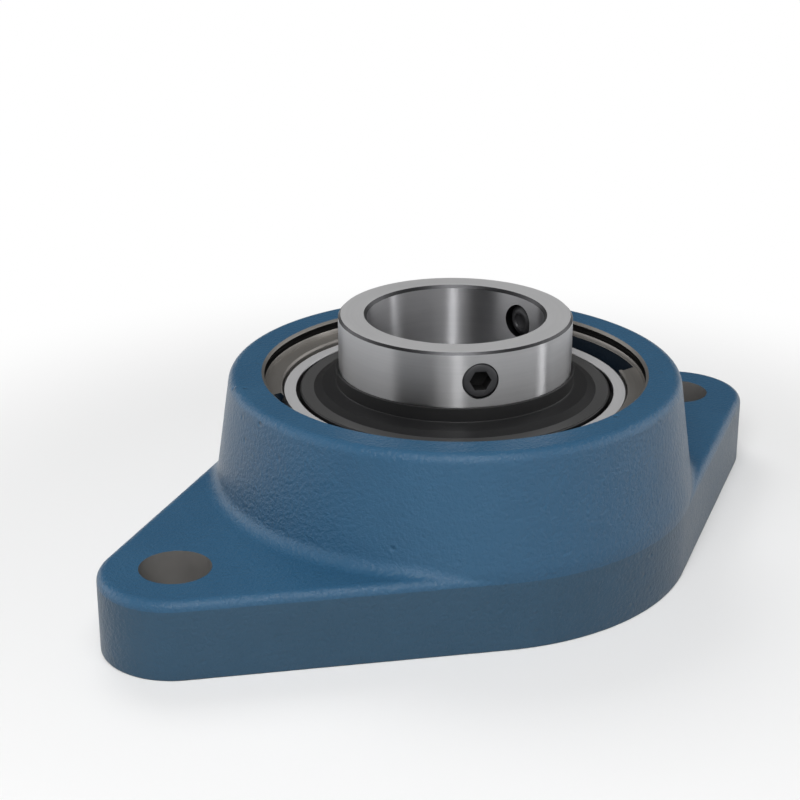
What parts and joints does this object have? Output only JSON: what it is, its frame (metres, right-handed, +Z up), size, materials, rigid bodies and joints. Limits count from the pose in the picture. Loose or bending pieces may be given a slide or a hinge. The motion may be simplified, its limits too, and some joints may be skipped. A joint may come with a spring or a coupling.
{
  "type": "flange bearing unit",
  "caption": "Flanged bearing unit: a painted cast housing with a bolt hole in each arm holds a self-aligning ball bearing insert that set screws lock on its shaft.",
  "frame": {"origin": "point where the shaft axis meets the mounting face", "axes": "+Z up the shaft axis towards the collar with the set screws, +X along the line through both bolt holes, +Y towards the grease nipple"},
  "size_m": [0.141, 0.0908, 0.0422],
  "materials": {
    "cast_paint": "blue paint over cast iron, satin",
    "bearing_steel": "ground and oiled",
    "ball_steel": "polished",
    "cage_plastic": "glass-filled, natural",
    "rubber": "matte",
    "black_oxide": "black oxide",
    "zinc_plate": "zinc plated"
  },
  "bodies": {
    "housing": {"housing": "cast_paint", "grease_nipple": "zinc_plate", "check_spring": "zinc_plate"},
    "check_ball": {"check_ball": "ball_steel"},
    "outer_ring": {"outer_ring": "bearing_steel", "seal_front": "rubber", "seal_back": "rubber"},
    "inner_ring": {"inner_ring": "bearing_steel", "flinger_front": "rubber", "flinger_back": "rubber"},
    "set_screw_1": {"set_screw_1": "black_oxide"},
    "set_screw_2": {"set_screw_2": "black_oxide"},
    "cage": {"cage": "cage_plastic"},
    "ball_1": {"ball_1": "ball_steel"},
    "ball_2": {"ball_2": "ball_steel"},
    "ball_3": {"ball_3": "ball_steel"},
    "ball_4": {"ball_4": "ball_steel"},
    "ball_5": {"ball_5": "ball_steel"},
    "ball_6": {"ball_6": "ball_steel"},
    "ball_7": {"ball_7": "ball_steel"},
    "ball_8": {"ball_8": "ball_steel"},
    "ball_9": {"ball_9": "ball_steel"}
  },
  "joints": [
    {"name": "seat_tilt", "type": "hinge", "parent": "housing", "child": "outer_ring", "pos_m": [0, 0, 0.02], "axis": [1, 0, 0], "range_deg": [-5, 5]},
    {"name": "shaft_spin", "type": "hinge", "parent": "outer_ring", "child": "inner_ring", "pos_m": [0, 0, 0.02], "axis": [0, 0, 1], "continuous": true},
    {"name": "screw_1_travel", "type": "slide", "parent": "inner_ring", "child": "set_screw_1", "axis": [1, 0, 0], "range_m": [-0.0008, 0.003]},
    {"name": "screw_2_travel", "type": "slide", "parent": "inner_ring", "child": "set_screw_2", "axis": [-0.5, -0.866, 0], "range_m": [-0.0008, 0.003]},
    {"name": "cage_spin", "type": "hinge", "parent": "outer_ring", "child": "cage", "pos_m": [0, 0, 0.02], "axis": [0, 0, 1], "continuous": true},
    {"name": "ball_1_spin", "type": "hinge", "parent": "cage", "child": "ball_1", "pos_m": [0.01762, 0.01478, 0.02], "axis": [0, 0, 1], "continuous": true},
    {"name": "ball_2_spin", "type": "hinge", "parent": "cage", "child": "ball_2", "pos_m": [0.00399, 0.02265, 0.02], "axis": [0, 0, 1], "continuous": true},
    {"name": "ball_3_spin", "type": "hinge", "parent": "cage", "child": "ball_3", "pos_m": [-0.0115, 0.01992, 0.02], "axis": [0, 0, 1], "continuous": true},
    {"name": "ball_4_spin", "type": "hinge", "parent": "cage", "child": "ball_4", "pos_m": [-0.02161, 0.00787, 0.02], "axis": [0, 0, 1], "continuous": true},
    {"name": "ball_5_spin", "type": "hinge", "parent": "cage", "child": "ball_5", "pos_m": [-0.02161, -0.00787, 0.02], "axis": [0, 0, 1], "continuous": true},
    {"name": "ball_6_spin", "type": "hinge", "parent": "cage", "child": "ball_6", "pos_m": [-0.0115, -0.01992, 0.02], "axis": [0, 0, 1], "continuous": true},
    {"name": "ball_7_spin", "type": "hinge", "parent": "cage", "child": "ball_7", "pos_m": [0.00399, -0.02265, 0.02], "axis": [0, 0, 1], "continuous": true},
    {"name": "ball_8_spin", "type": "hinge", "parent": "cage", "child": "ball_8", "pos_m": [0.01762, -0.01478, 0.02], "axis": [0, 0, 1], "continuous": true},
    {"name": "ball_9_spin", "type": "hinge", "parent": "cage", "child": "ball_9", "pos_m": [0.023, 0, 0.02], "axis": [0, 0, 1], "continuous": true},
    {"name": "check_valve", "type": "slide", "parent": "housing", "child": "check_ball", "axis": [0, -0.9659, -0.2588], "range_m": [0, 0.0008], "stiffness_N_per_m": 300, "springref_m": -0.0005, "deforming": ["check_spring"]}
  ],
  "couplings": [
    {"joint": "cage_spin", "follows": "shaft_spin", "ratio": 0.39647},
    {"joint": "ball_1_spin", "follows": "shaft_spin", "ratio": -2.3112},
    {"joint": "ball_2_spin", "follows": "shaft_spin", "ratio": -2.3112},
    {"joint": "ball_3_spin", "follows": "shaft_spin", "ratio": -2.3112},
    {"joint": "ball_4_spin", "follows": "shaft_spin", "ratio": -2.3112},
    {"joint": "ball_5_spin", "follows": "shaft_spin", "ratio": -2.3112},
    {"joint": "ball_6_spin", "follows": "shaft_spin", "ratio": -2.3112},
    {"joint": "ball_7_spin", "follows": "shaft_spin", "ratio": -2.3112},
    {"joint": "ball_8_spin", "follows": "shaft_spin", "ratio": -2.3112},
    {"joint": "ball_9_spin", "follows": "shaft_spin", "ratio": -2.3112}
  ]
}
